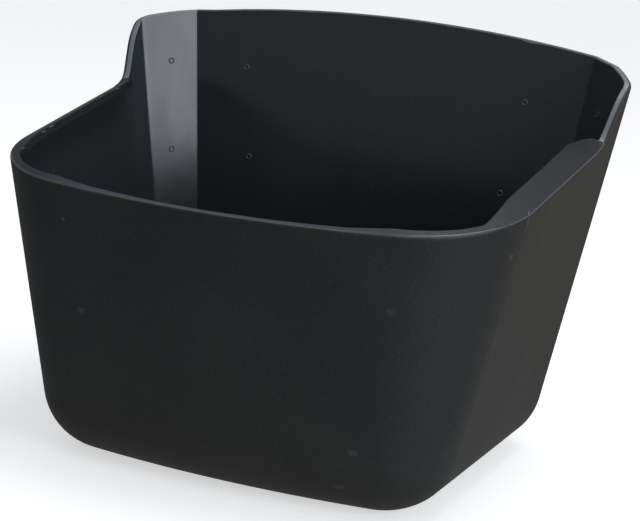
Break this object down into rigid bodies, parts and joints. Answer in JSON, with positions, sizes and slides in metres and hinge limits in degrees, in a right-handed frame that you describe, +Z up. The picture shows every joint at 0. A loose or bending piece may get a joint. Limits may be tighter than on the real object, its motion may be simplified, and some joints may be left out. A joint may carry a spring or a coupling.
{
  "type": "anti-spill feeding bowl",
  "caption": "One-piece moulded feeding bowl for livestock with a tall flat back, bevelled rear corners, low front and inturned side lips that hold feed back.",
  "frame": {"origin": "middle of the bowl's width and depth, on the flat base", "axes": "+X to the bowl's left seen from its back, along its width; +Y towards the tall back wall; +Z up"},
  "size_m": [0.3728, 0.2821, 0.2819],
  "materials": {
    "black_polyethylene": "black moulded polyethylene, finely grained outside and satin inside"
  },
  "bodies": {
    "root": {"bowl": "black_polyethylene"}
  },
  "joints": []
}
